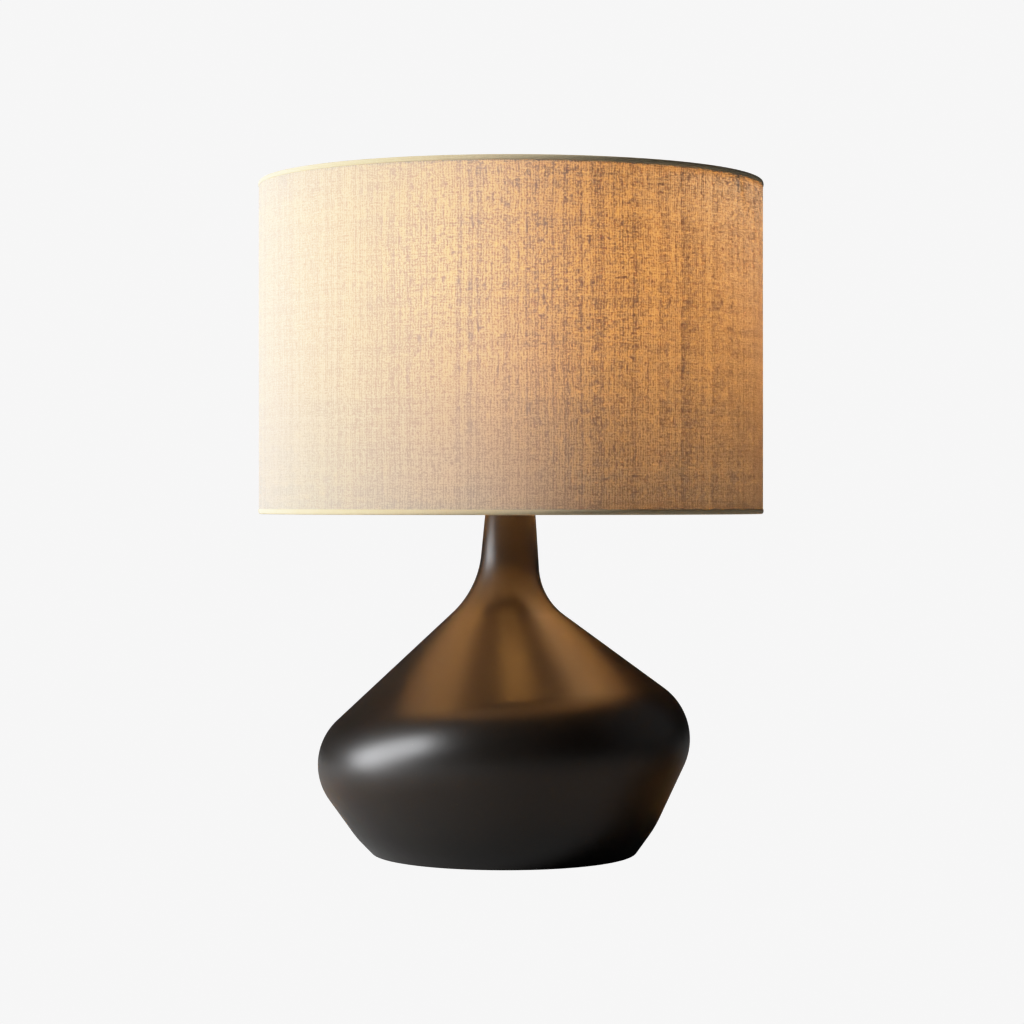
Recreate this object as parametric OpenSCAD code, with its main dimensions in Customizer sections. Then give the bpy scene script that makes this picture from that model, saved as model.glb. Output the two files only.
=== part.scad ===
// Table lamp: a linen drum shade on a lopsided ceramic body.
// Millimetres, +Z up. The origin is on the table, under the centre of the shade.
// -X and +X are the lamp's left and right, and +Y is its back, where the cord goes in.
// A pair such as [19, 17] holds the left side's value and the right side's.

/* [Ceramic body] */
// Height of the neck's top above the table
body_top_z = 265; // [262:0.5:266]
// Radius of the neck at its top
neck_r = [15.9, 15.8]; // [15:0.1:16.4]
// Radius at which the neck's line meets the shoulder's line
waist_r = [23.6, 21.3]; // [20:0.1:27]
// Height at which the neck's line meets the shoulder's line
waist_z = [187.4, 181.1]; // [175:0.1:195]
// Hollow rounding between neck and shoulder
waist_round = [65, 43.5]; // [30:0.5:70]
// Radius at which the shoulder's line meets the lower side's line
belly_r = [150.4, 137.8]; // [130:0.1:154]
// Height at which the shoulder's line meets the lower side's line
belly_z = [69.1, 96]; // [62:0.1:102]
// Rounding of the belly
belly_round = [41.8, 43.8]; // [30:0.1:50]
// How much higher the belly's line lies at the front than halfway between its two sides
belly_front = 12.5; // [0:0.5:14]
// How much larger the belly's rounding is at the front
belly_front_round = 8; // [0:0.5:12]
// Radius at which the lower side's line turns in to the foot
shank_r = [109.4, 102.4]; // [100:0.1:112]
// Height at which the lower side's line turns in to the foot
shank_z = [12.9, 20.7]; // [12:0.1:22]
// Rounding of that turn
shank_round = [60, 80]; // [20:1:80]
// Radius at which the foot's line meets the underside
foot_r = [98.2, 88.6]; // [88:0.1:99]
// Rounding of the foot's edge
foot_round = [2, 2]; // [1.5:0.1:3]
// How much further the foot reaches at the front
foot_front = 14; // [0:0.5:15]
// Thickness of the cast wall
wall = 6.5; // [5:0.1:8]

/* [Foot] */
// Thickness of the felt pad
felt_t = 1.5; // [1:0.1:3]
// How far the felt stays inside the flat of the foot
felt_inset = 5; // [3:0.1:8]
// Radius of the hollow under the floor
recess_r = 75; // [60:1:78]
// Depth of the hollow under the floor
recess_h = 17.5; // [17:0.1:20]
// Radius of the bore for the cord
cord_bore_r = 3.75; // [3:0.05:4.5]

/* [Shade] */
// Outside diameter of the drum
shade_d = 356; // [350:1:366]
// Height of the drum from rim to rim
shade_h = 234; // [228:0.5:240]
// Height of the lower rim above the table
shade_z = 240.5; // [238:0.5:244]
// Thickness of the linen
linen_t = 0.8; // [0.5:0.1:1]
// Thickness of the stiff lining
lining_t = 0.6; // [0.4:0.1:1]
// Radius of the wire of the two rings
ring_wire_r = 1.8; // [1.4:0.1:2]
// How far the linen is turned in behind each ring
hem_h = 5.5; // [5:0.5:16]

/* [Harp] */
// Height of the harp's top bar above its saddle
harp_h = 178; // [175:0.5:178]
// Radius of the harp's wire
harp_wire_r = 1.8; // [1.5:0.1:1.9]
// Half the distance between the saddle's two prongs
prong_x = 35; // [34.8:0.1:35.5]

/* [Socket and bulb] */
// Radius of the threaded pipe
pipe_r = 5; // [4.8:0.05:5.1]
// Radius of the pipe's hollow
pipe_bore_r = 3.5; // [3:0.1:3.8]
// Outside radius of the socket's metal shell
shell_r = 17; // [16.8:0.1:17.2]
// Radius of the bulb's globe
globe_r = 30; // [28:0.1:30]
// Length of the bulb from its contact to its top
bulb_l = 107.5; // [100:0.5:108]

/* [Hidden] */
$fn = 96;

// A gap between two pieces that move on each other, and one between a thread and its nut
gap = 0.2;
thread_gap = 0.05;
// Longer than any wall that a hole is cut through
overcut = 1;

// Foot, from the table up
foot_z = felt_t;
floor_under_z = foot_z + recess_h;
floor_t = 7;
floor_z = floor_under_z + floor_t;
cord_z = foot_z + 10;
grommet_r = 6;
grommet_flange_r = 7.8;
grommet_flange_t = 2;
grommet_seat_y = 95;
grommet_end_y = 72.4;
grommet_lip_r = 6.8;
grommet_lip_t = 1.5;
washer_t = 1.5;
lock_washer_t = 1.3;
nut_t = 5;
nut_z = floor_under_z - washer_t - lock_washer_t - nut_t;
pipe_z = nut_z - 1.5;

// Stack on the neck, from the ceramic up
gasket_t = 1;
cap_t = 1.2;
cap_z = body_top_z + gasket_t;
top_nut_z = cap_z + cap_t;
top_nut_t = 4;
saddle_z = top_nut_z + top_nut_t;
saddle_t = 1.6;
socket_z = saddle_z + saddle_t;
hub_h = 9;
pipe_top_z = socket_z + hub_h - 1;

// Socket
rim_z = socket_z + 23.7;
core_z = socket_z + 19.5;
core_h = 15.5;
core_r = 15.2;
spindle_z = socket_z + 27.2;
spindle_r = 1.9;
shell_z = socket_z + 18;
shell_t = 0.6;
shell_top_z = socket_z + 64;
liner_t = 0.7;
liner_r = shell_r - shell_t - 0.1;
screw_z = core_z + core_h;

// Bulb. The thread is a row of rings at the pitch of the real helix.
thread_pitch = 3.6;
thread_turns = 5;
thread_mid_r = 12.7;
thread_depth = 0.4;
thread_points = 8;
bulb_z = screw_z + 2.4;
thread_z = bulb_z + 4.5;
thread_top_z = thread_z + thread_pitch * thread_turns;
bulb_cap_top_z = thread_top_z + 4;
globe_z = bulb_z + bulb_l - globe_r;
glass_neck_r = 11.6;
glass_sweep_r = 35;
glass_t = 0.8;
glass_z = thread_top_z - 5;

// Harp
bar_z = saddle_z + harp_h;
leg_x = prong_x + gap + harp_wire_r;
sleeve_x = prong_x + 1.1;
sleeve_h = 14;
sleeve_r = 4.6;
sleeve_bore_r = 4.1;
sleeve_z = socket_z + gap;
lug_t = 3;
seat_z = bar_z + lug_t / 2 + gap;
seat_t = 2;
seat_r = 9;
stud_r = 3.15;
stud_h = 15.5;
harp_corners = [
  [leg_x, socket_z + gap], [leg_x, socket_z + 38], [60, socket_z + 79], [55, bar_z], [0, bar_z]
];
harp_rounds = [25, 70, 42];

// Shade
shade_r = shade_d / 2;
lining_r = shade_r - linen_t;
ring_r = lining_r - lining_t - 0.1 - ring_wire_r;
shade_top_z = shade_z + shade_h;
top_ring_z = shade_top_z - linen_t - ring_wire_r;
bottom_ring_z = shade_z + linen_t + ring_wire_r;
hub_z = seat_z + seat_t;
hub_t = 1.6;
hub_r = 13;
arm_wire_r = 1.6;
weld = 0.05;
arm_z = hub_z + hub_t + arm_wire_r - weld;
arm_r = ring_r - ring_wire_r - arm_wire_r + weld;
arm_angles = [90, 210, 330];
finial_z = hub_z + hub_t + 0.1;

// ---------- Helpers ----------

function unit(v) = v / norm(v);
function heading(v) = atan2(v[1], v[0]);
function last(list) = list[len(list) - 1];
function reversed(list) = [for (i = [len(list) - 1:-1:0]) list[i]];

// The round that replaces corner p of the line a, p, b: [centre, radius, start angle, sweep]
function corner_round(a, p, b, r) =
  let (u = unit(a - p), v = unit(b - p), half = acos(u * v) / 2)
  let (centre = p + unit(u + v) * r / sin(half))
  let (start = heading(p + u * r / tan(half) - centre), end = heading(p + v * r / tan(half) - centre))
  [centre, r, start, (end - start + 540) % 360 - 180];

function round_point(round, t) =
  round[0] + round[1] * [cos(round[2] + round[3] * t), sin(round[2] + round[3] * t)];

function round_points(a, p, b, r, steps) =
  let (round = corner_round(a, p, b, r)) [for (k = [0:steps]) round_point(round, k / steps)];

// Corner p of the line a, p, b, moved so that both of its lines shift by d towards the corner's inside
function shifted_corner(a, p, b, d) =
  let (u = unit(a - p), v = unit(b - p)) p + unit(u + v) * d / sin(acos(u * v) / 2);

module disc(r, from, to) {
  translate([0, 0, from]) cylinder(r = r, h = to - from);
}

module tube(r, bore, from, to) {
  difference() {
    disc(r, from, to);
    disc(bore, from - overcut, to + overcut);
  }
}

// Puts a shape that was drawn along +Z along +X or +Y instead
module along_x() { rotate([0, 90, 0]) children(); }
module along_y() { rotate([-90, 0, 0]) children(); }

// A straight stretch of wire from p to q in the XZ plane, which runs on a little before p and after q
module wire_line(p, q, r, before = 0, after = 0) {
  start = p - unit(q - p) * before;
  translate([start[0], 0, start[1]]) rotate([0, 90 - heading(q - p), 0])
    cylinder(r = r, h = norm(q - p) + before + after);
}

module wire_round(round, r) {
  translate([round[0][0], 0, round[0][1]])
    rotate([90, 0, 0]) rotate([0, 0, min(round[2], round[2] + round[3])])
      rotate_extrude(angle = abs(round[3])) translate([round[1], 0]) circle(r = r);
}

// A wire along a line of corners in the XZ plane, with a round at each inner corner. A round is a
// hair thicker than the straight wire that runs on into it, so that their surfaces cross cleanly.
module bent_wire(corners, rounds, r) {
  n = len(corners);
  run_on = 0.4;
  swell = 0.03;
  bends = [for (i = [1:n - 2]) corner_round(corners[i - 1], corners[i], corners[i + 1], rounds[i - 1])];
  for (i = [0:n - 2]) {
    first = i == 0;
    final = i == n - 2;
    p = first ? corners[0] : round_point(bends[i - 1], 1);
    q = final ? corners[n - 1] : round_point(bends[i], 0);
    wire_line(p, q, r, first ? 0 : run_on, final ? 0 : run_on);
  }
  for (bend = bends) wire_round(bend, r + swell);
}

module hex_nut(across_flats, from, to) {
  difference() {
    translate([0, 0, from]) cylinder(r = across_flats / sqrt(3), h = to - from, $fn = 6);
    disc(pipe_r + thread_gap, from - overcut, to + overcut);
  }
}

// ---------- Ceramic body and foot ----------

// A pair's value at an azimuth, from its left value at 180 degrees to its right value at 0
function around(pair, azimuth) = pair[0] + (pair[1] - pair[0]) * (1 + cos(azimuth)) / 2;

// The share of a front value at an azimuth, which is nothing at the sides and the back
function at_front(azimuth) = pow(min(0, sin(azimuth)), 2);

function belly_rounding(azimuth) = around(belly_round, azimuth) + belly_front_round * at_front(azimuth);

// The corners of the outline at an azimuth, from the neck's top down to the underside
function outer_corners(azimuth) = [
  [around(neck_r, azimuth), body_top_z],
  [around(waist_r, azimuth), around(waist_z, azimuth)],
  [around(belly_r, azimuth), around(belly_z, azimuth) + belly_front * at_front(azimuth)],
  [around(shank_r, azimuth) + foot_front * at_front(azimuth), around(shank_z, azimuth)],
  [around(foot_r, azimuth) + foot_front * at_front(azimuth), foot_z],
  [0, foot_z]
];

function outer_line(azimuth) =
  let (c = outer_corners(azimuth))
  concat([c[0]],
         round_points(c[0], c[1], c[2], around(waist_round, azimuth), 8),
         round_points(c[1], c[2], c[3], belly_rounding(azimuth), 10),
         round_points(c[2], c[3], c[4], around(shank_round, azimuth), 4),
         round_points(c[3], c[4], c[5], around(foot_round, azimuth), 3));

// The same outline one wall thickness further in, down to the floor inside
function inner_line(azimuth) =
  let (c = outer_corners(azimuth), top = c[0] - [wall, 0])
  let (waist = shifted_corner(c[0], c[1], c[2], -wall), belly = shifted_corner(c[1], c[2], c[3], wall))
  let (foot = belly + (c[3] - c[2]) * (floor_z - belly[1]) / (c[3][1] - c[2][1]), floor_round = 10)
  concat([top],
         round_points(top, waist, belly, around(waist_round, azimuth) + wall, 5),
         round_points(waist, belly, foot, belly_rounding(azimuth) - wall, 6),
         round_points(belly, foot, [0, floor_z], floor_round, 3));

// A closed solid from one line of points for each azimuth. The first and last points make flat ends.
module lofted(lines) {
  n = len(lines);
  m = len(lines[0]);
  points = [for (i = [0:n - 1]) for (p = lines[i])
    [p[0] * cos(360 * i / n), p[0] * sin(360 * i / n), p[1]]];
  sides = [for (i = [0:n - 1]) for (j = [0:m - 2])
    let (here = i * m + j, next = (i + 1) % n * m + j)
    each [[here, here + 1, next + 1], [here, next + 1, next]]];
  ends = [[for (i = [0:n - 1]) i * m], [for (i = [n - 1:-1:0]) i * m + m - 1]];
  polyhedron(points = points, faces = concat(sides, ends), convexity = 6);
}

module ceramic_body() {
  azimuth_steps = 64;
  lines = [for (i = [0:azimuth_steps - 1])
    let (azimuth = 360 * i / azimuth_steps) concat(reversed(inner_line(azimuth)), outer_line(azimuth))];
  scoop_l = 30;
  color("#1d1a17") difference() {
    lofted(lines);
    disc(recess_r, foot_z - overcut, floor_under_z);
    disc(pipe_r + 0.8, floor_under_z - overcut, floor_z + overcut);
    translate([0, recess_r / 2, cord_z]) along_y() cylinder(r = grommet_r + thread_gap, h = recess_r);
    translate([0, grommet_seat_y, cord_z]) along_y() cylinder(r = grommet_flange_r + gap, h = scoop_l);
  }
}

module felt_pad() {
  left = last(outer_line(180))[0];
  right = last(outer_line(0))[0];
  color("#cfc9bd") translate([(right - left) / 2, 0, 0]) disc((left + right) / 2 - felt_inset, 0, felt_t);
}

module cord_grommet() {
  body_l = grommet_seat_y - grommet_end_y;
  color("#1a1a1a") translate([0, grommet_end_y, cord_z]) along_y() difference() {
    union() {
      disc(grommet_lip_r, 0, grommet_lip_t);
      disc(grommet_r, 0, body_l);
      disc(grommet_flange_r, body_l, body_l + grommet_flange_t);
    }
    disc(cord_bore_r, -overcut, body_l + grommet_flange_t + overcut);
  }
}

module bottom_washer() {
  color("silver") tube(20, pipe_r + gap, floor_under_z - washer_t, floor_under_z);
}

module bottom_lock_washer() {
  slit_w = 1.2;
  color("silver") difference() {
    tube(9, pipe_r + gap, nut_z + nut_t, nut_z + nut_t + lock_washer_t);
    translate([0, -slit_w / 2, nut_z]) cube([10, slit_w, 2 * nut_t]);
  }
}

module bottom_nut() { color("silver") hex_nut(16, nut_z, nut_z + nut_t); }

module lamp_pipe() { color("silver") tube(pipe_r, pipe_bore_r, pipe_z, pipe_top_z); }

// ---------- Neck stack ----------

module neck_gasket() { color("#2b2b2b") tube(14.5, pipe_r + 0.8, body_top_z, cap_z); }

module neck_cap() {
  skirt_r = 17.8;
  skirt_bore_r = 16.9;
  skirt_z = cap_z - 3.5;
  edge = 0.8;
  color("#3a2f24") rotate_extrude() polygon([
    [pipe_r + gap, cap_z], [skirt_bore_r, cap_z], [skirt_bore_r, skirt_z], [skirt_r, skirt_z],
    [skirt_r, top_nut_z - edge], [skirt_r - edge, top_nut_z], [pipe_r + gap, top_nut_z]
  ]);
}

module top_nut() { color("#3a2f24") hex_nut(16, top_nut_z, saddle_z); }

module harp_saddle() {
  strip_l = 79;
  strip_w = 14;
  prong_t = 1.6;
  prong_w = 4.8;
  prong_h = 13.7;
  color("#8a7a55") difference() {
    union() {
      translate([-strip_l / 2, -strip_w / 2, saddle_z]) cube([strip_l, strip_w, saddle_t]);
      for (side = [-1, 1])
        translate([side > 0 ? prong_x - prong_t : -prong_x, -prong_w / 2, saddle_z])
          cube([prong_t, prong_w, saddle_t + prong_h]);
    }
    disc(pipe_r + gap, saddle_z - overcut, socket_z + overcut);
  }
}

// ---------- Socket ----------

module socket_cap() {
  hub_r = 8;
  rim_r = shell_r + 0.8;
  screw_r = 1.55;
  color("#b8975a") difference() {
    rotate_extrude() polygon([
      [pipe_r + thread_gap, socket_z], [hub_r, socket_z], [hub_r, socket_z + 6.2], [rim_r, socket_z + 14.7],
      [rim_r, rim_z], [shell_r + 0.1, rim_z], [shell_r + 0.1, socket_z + 15.2],
      [hub_r + 0.5, socket_z + hub_h], [pipe_r + thread_gap, socket_z + hub_h]
    ]);
    translate([0, pipe_r - overcut, socket_z + 3]) along_y() cylinder(r = screw_r, h = 6);
  }
}

module socket_set_screw() {
  screw_l = 3.6;
  color("silver") translate([0, pipe_r + 0.1, socket_z + 3]) along_y() difference() {
    cylinder(r = 1.5, h = screw_l);
    translate([-2, -0.3, screw_l - 0.8]) cube([4, 0.6, 2]);
  }
}

// The slot for the spindle, open at the lower edge of a shell
module spindle_slot() {
  slot_r = 3;
  slot_l = 6;
  translate([0, -shell_r - slot_l / 2, spindle_z]) along_y() cylinder(r = slot_r, h = slot_l);
  translate([-slot_r, -shell_r - slot_l / 2, spindle_z - 20]) cube([2 * slot_r, slot_l, 20]);
}

module socket_shell() {
  bead = 0.7;
  color("#b8975a") difference() {
    union() {
      tube(shell_r, shell_r - shell_t, shell_z, shell_top_z);
      translate([0, 0, shell_top_z - bead]) rotate_extrude() translate([shell_r, 0]) circle(r = bead);
    }
    disc(shell_r - shell_t, shell_z - overcut, shell_top_z + overcut);
    spindle_slot();
  }
}

module socket_liner() {
  color("#8a6f4d") difference() {
    tube(liner_r, liner_r - liner_t, shell_z + 1, shell_top_z - 1);
    spindle_slot();
  }
}

// The rotor's well opens at the core's underside, as the two halves of a real core part there
module socket_core() {
  pocket_x = 12.4;
  color("#20201e") difference() {
    disc(core_r, core_z, core_z + core_h);
    translate([0, -core_r - overcut, spindle_z]) along_y() cylinder(r = spindle_r + 0.4, h = core_r);
    translate([0, -7, spindle_z]) along_y() cylinder(r = 5.6, h = 10);
    for (side = [-1, 1]) {
      translate([side > 0 ? pocket_x : -pocket_x - 5, -5, spindle_z - 5]) cube([5, 10, 10]);
      translate([side * 10, 0, spindle_z]) along_x() cylinder(r = 1.5, h = 6, center = true);
      translate([0, side * 10, screw_z - 4]) cylinder(r = 1.3, h = 5);
    }
    translate([-4, 0, screw_z - 4]) cylinder(r = 1.3, h = 5);
  }
}

// The wavy line of a rolled thread, from its foot to its top
function thread_line(r, from) = [
  for (i = [0:thread_turns * thread_points])
    [r - thread_depth * cos(360 * i / thread_points), from + thread_pitch * i / thread_points]
];

module screw_shell() {
  sheet_t = 0.4;
  r = thread_mid_r + 0.25;
  top = thread_top_z + 2;
  flange_bore_r = 7;
  inside = thread_line(r, thread_z);
  outside = thread_line(r + sheet_t, thread_z);
  floor_r = r - thread_depth;
  color("#b9bcc0") difference() {
    rotate_extrude() polygon(concat(
      [[flange_bore_r, screw_z], [floor_r + sheet_t, screw_z]], outside,
      [[floor_r + sheet_t, top], [floor_r, top]], reversed(inside),
      [[floor_r, screw_z + sheet_t], [flange_bore_r, screw_z + sheet_t]]
    ));
    for (side = [-1, 1]) translate([0, side * 10, screw_z - 4]) cylinder(r = 1.3, h = 8);
  }
}

module screw_shell_rivets() {
  color("#b8975a") for (side = [-1, 1]) translate([0, side * 10, 0]) {
    disc(1.25, screw_z - 3.8, screw_z + 0.4);
    disc(2, screw_z + 0.4, screw_z + 1.2);
  }
}

module centre_contact() {
  strip_w = 5;
  color("#b8975a") union() {
    translate([-4, 0, screw_z - 3]) cylinder(r = 1.25, h = 3.6);
    translate([0, strip_w / 2, screw_z]) rotate([90, 0, 0]) linear_extrude(strip_w)
      polygon([[-6, 0.4], [-2.5, 0.4], [3, 1.7], [3.5, 1.8],
               [3.5, 2.2], [2.8, 2.2], [-2.7, 0.9], [-6, 0.9]]);
  }
}

module terminal_screws() {
  color("#b8975a") for (side = [-1, 1])
    translate([side * 12.4, 0, spindle_z]) rotate([0, side * 90, 0]) difference() {
      union() {
        translate([0, 0, -5]) cylinder(r = 1.4, h = 5.5);
        cylinder(r = 3.2, h = 2);
      }
      translate([-4, -0.4, 1.2]) cube([8, 0.8, 2]);
    }
}

module switch_rotor() {
  cam_w = 8.4;
  color("#6b1f1a") translate([0, -6, spindle_z]) along_y() intersection() {
    cylinder(r = 5.2, h = 8);
    translate([-cam_w / 2, -cam_w / 2, 0]) cube([cam_w, cam_w, 8]);
  }
}

module switch_spindle() {
  color("silver") translate([0, -32, spindle_z]) along_y() cylinder(r = spindle_r, h = 26);
}

module switch_knob() {
  knob_r = 6.2;
  knob_l = 14;
  ribs = 14;
  color("#1a1a1a") translate([0, -36, spindle_z]) along_y() difference() {
    union() {
      rotate_extrude() polygon([[0, 0], [knob_r - 1.2, 0], [knob_r, 1.2], [knob_r, knob_l - 4],
                                [4.2, knob_l - 2], [4.2, knob_l], [0, knob_l]]);
      for (i = [0:ribs - 1])
        rotate(360 * i / ribs) translate([knob_r, 0, 1.4]) cylinder(r = 0.6, h = knob_l - 5.8);
    }
    translate([0, 0, 4]) cylinder(r = spindle_r + thread_gap, h = knob_l);
  }
}

// ---------- Bulb ----------

// One side of the glass envelope's outline: the globe, then a hollow sweep down to the neck
function glass_line(inset) =
  let (r = globe_r - inset, sweep_r = glass_sweep_r + inset, neck = glass_neck_r - inset)
  let (drop = sqrt(pow(r + sweep_r, 2) - pow(neck + sweep_r, 2)), meet = atan2(drop, neck + sweep_r))
  concat([for (k = [0:14]) let (a = 90 - (90 + meet) * k / 14) [r * cos(a), globe_z + r * sin(a)]],
         [for (k = [1:6]) let (a = 180 - meet + meet * k / 6)
           [neck + sweep_r + sweep_r * cos(a), globe_z - drop + sweep_r * sin(a)]],
         [[neck, glass_z]]);

module bulb_glass() {
  color("ivory") rotate_extrude() polygon(concat(glass_line(0), reversed(glass_line(glass_t))));
}

module bulb_cap() {
  sheet_t = 0.3;
  shoulder_r = thread_mid_r - thread_depth;
  color("#b9bcc0") rotate_extrude() polygon(concat(
    thread_line(thread_mid_r, thread_z),
    [[shoulder_r, bulb_cap_top_z], [shoulder_r - sheet_t, bulb_cap_top_z]],
    reversed(thread_line(thread_mid_r - sheet_t, thread_z))
  ));
}

module bulb_insulator() {
  contact_r = 4.9;
  color("#141414") rotate_extrude() polygon([
    [contact_r, bulb_z + 1], [5.6, bulb_z + 1], [11.9, thread_z],
    [11.5, thread_z + 1], [contact_r, thread_z + 1]
  ]);
}

module bulb_contact() {
  color("#c9c4b8") rotate_extrude() polygon([
    [0, bulb_z], [2.5, bulb_z], [4.8, bulb_z + 0.9], [4.8, bulb_z + 2], [0, bulb_z + 2]
  ]);
}

module bulb_stem() {
  stem_z = glass_z + 4;
  color("lightblue") rotate_extrude() polygon([
    [0, stem_z], [10.6, stem_z], [10.6, stem_z + 1], [4, stem_z + 8],
    [4, stem_z + 22], [2.2, stem_z + 25], [0, stem_z + 26]
  ]);
}

module bulb_filament() {
  foot = glass_z + 31;
  top = glass_z + 50;
  reach = 10;
  lead_r = 0.4;
  coil_r = 0.7;
  color("orange") union() {
    for (side = [-1, 1]) wire_line([side * 1.5, foot - 1.5], [side * reach, top], lead_r);
    translate([-reach - coil_r, 0, top]) along_x() cylinder(r = coil_r, h = 2 * (reach + coil_r));
  }
}

// ---------- Harp ----------

module harp() {
  flat_w = 2 * seat_r + 2;
  color("#8a7a55") difference() {
    union() {
      bent_wire(harp_corners, harp_rounds, harp_wire_r);
      mirror([1, 0, 0]) bent_wire(harp_corners, harp_rounds, harp_wire_r);
      disc(7, bar_z - lug_t / 2, bar_z + lug_t / 2);
    }
    for (side = [-1, 1])
      translate([-flat_w / 2, -flat_w / 2, bar_z + side * (lug_t / 2 + 1) - 1]) cube([flat_w, flat_w, 2]);
    disc(2.7, bar_z - lug_t, bar_z + lug_t);
  }
}

module harp_sleeve(side) {
  color("#b8975a") translate([side * sleeve_x, 0, 0])
    tube(sleeve_r, sleeve_bore_r, sleeve_z, sleeve_z + sleeve_h);
}

module harp_sleeve_left() { harp_sleeve(-1); }
module harp_sleeve_right() { harp_sleeve(1); }

// A flange with a threaded stud above it and a rivet below it, which turns in the harp's lug
module harp_seat() {
  rivet_z = bar_z - lug_t / 2 - gap;
  color("#8a7a55") union() {
    disc(2.5, rivet_z, seat_z);
    disc(4.5, rivet_z - 2, rivet_z);
    disc(seat_r, seat_z, seat_z + seat_t);
    disc(stud_r, seat_z + seat_t, seat_z + seat_t + stud_h);
  }
}

module finial() {
  bore_h = stud_h + 1;
  ball_r = 8;
  ball_z = 11.2;
  color("#3a2f24") difference() {
    translate([0, 0, finial_z]) rotate_extrude() polygon(concat(
      [[0, 0], [6.8, 0], [7, 0.4], [7, 1.8], [6.4, 2.4], [5, 3], [4.6, 4.4]],
      [for (k = [0:12]) let (a = -58 + 148 * k / 12) [ball_r * cos(a), ball_z + ball_r * sin(a)]]
    ));
    disc(stud_r + 0.1, finial_z - overcut, hub_z + bore_h);
  }
}

// ---------- Shade ----------

module shade_spider_hub() { color("#9a9a96") tube(hub_r, stud_r + 0.4, hub_z, hub_z + hub_t); }

module shade_spider_arms() {
  corners = [[7.8, arm_z], [arm_r, arm_z], [arm_r, top_ring_z]];
  color("#9a9a96") for (angle = arm_angles) rotate(angle) bent_wire(corners, [7], arm_wire_r);
}

module shade_ring(z) {
  color("#9a9a96") translate([0, 0, z]) rotate_extrude() translate([ring_r, 0]) circle(r = ring_wire_r);
}

module shade_top_ring() { shade_ring(top_ring_z); }
module shade_bottom_ring() { shade_ring(bottom_ring_z); }

module shade_liner() {
  inset = 3;
  color("white") tube(lining_r, lining_r - lining_t, shade_z + inset, shade_top_z - inset);
}

module shade_fabric() { color("#e6d3b3") tube(shade_r, lining_r, shade_z, shade_top_z); }

// The linen's turned-in edge: over the ring, then back along its inner side
module hem(edge_z, up) {
  inner_r = ring_r - ring_wire_r - linen_t;
  rotate_extrude() polygon([
    [lining_r, edge_z], [inner_r, edge_z], [inner_r, edge_z - up * hem_h],
    [inner_r + linen_t, edge_z - up * hem_h], [inner_r + linen_t, edge_z - up * linen_t],
    [lining_r, edge_z - up * linen_t]
  ]);
}

module shade_top_hem() {
  slot_r = arm_wire_r + 0.3;
  color("#d8c6a6") difference() {
    hem(shade_top_z, 1);
    for (angle = arm_angles) rotate(angle) translate([arm_r, 0, 0])
      disc(slot_r, shade_top_z - hem_h - overcut, shade_top_z - linen_t);
  }
}

module shade_bottom_hem() { color("#d8c6a6") hem(shade_z, -1); }

// ---------- Nodes ----------

felt_pad();
ceramic_body();
cord_grommet();
bottom_washer();
bottom_lock_washer();
bottom_nut();
lamp_pipe();
neck_gasket();
neck_cap();
top_nut();
harp_saddle();
socket_cap();
socket_set_screw();
socket_shell();
socket_liner();
socket_core();
screw_shell();
screw_shell_rivets();
centre_contact();
terminal_screws();
switch_rotor();
switch_spindle();
switch_knob();
bulb_glass();
bulb_cap();
bulb_insulator();
bulb_contact();
bulb_stem();
bulb_filament();
harp();
harp_sleeve_left();
harp_sleeve_right();
harp_seat();
shade_spider_hub();
shade_spider_arms();
shade_top_ring();
shade_bottom_ring();
shade_liner();
shade_fabric();
shade_top_hem();
shade_bottom_hem();
finial();
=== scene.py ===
import math

import bmesh
import bpy
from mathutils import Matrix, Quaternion, Vector


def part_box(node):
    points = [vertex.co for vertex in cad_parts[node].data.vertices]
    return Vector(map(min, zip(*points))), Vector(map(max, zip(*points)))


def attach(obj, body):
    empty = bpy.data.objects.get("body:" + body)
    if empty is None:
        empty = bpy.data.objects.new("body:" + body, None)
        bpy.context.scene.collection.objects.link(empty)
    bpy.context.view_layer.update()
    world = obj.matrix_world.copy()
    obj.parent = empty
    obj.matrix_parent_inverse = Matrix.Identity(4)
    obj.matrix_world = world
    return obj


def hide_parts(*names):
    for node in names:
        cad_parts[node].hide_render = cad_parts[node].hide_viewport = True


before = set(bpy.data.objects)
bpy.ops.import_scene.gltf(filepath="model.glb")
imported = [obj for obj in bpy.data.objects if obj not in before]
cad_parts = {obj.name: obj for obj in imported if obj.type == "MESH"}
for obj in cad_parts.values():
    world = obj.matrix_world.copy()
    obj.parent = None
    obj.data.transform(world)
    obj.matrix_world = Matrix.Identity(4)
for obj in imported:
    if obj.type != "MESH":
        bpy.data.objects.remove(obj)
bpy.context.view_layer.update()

MM = 0.001
TURN = 2 * math.pi


def top_of(node):
    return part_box(node)[1].z


def bottom_of(node):
    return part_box(node)[0].z


# ---------- Camera, floor and lights ----------

LENS = 102.5
CAMERA_DISTANCE = 2.065
CAMERA_HEIGHT = 0.25
CAMERA_SHIFT = (0.001, -0.0112)
BACKDROP = (1.085, 1.085, 1.085)
# Light that reaches the film, and how much of it the picture shows
FILM = ((0.15, 0.15), (0.3, 0.3), (0.45, 0.45), (0.6, 0.6), (0.76, 0.745), (0.86, 0.81), (0.95, 0.858),
        (1.07, 0.918), (1.21, 0.96), (1.4, 0.99))
FILM_WHITE = 1.5
BULB_COLOUR = (1.0, 0.445, 0.105)
AIM = Vector((0, 0, 0.25))
STUDIO_LIGHT = 0.01
# The floor's two colours are painted light and shade: lighter at the left, towards the lamps, darker at the
# right.
FLOOR_PAINTED_LIT = (0.66, 0.66, 0.66)
FLOOR_PAINTED_SHADE = (0.35, 0.35, 0.35)


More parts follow.
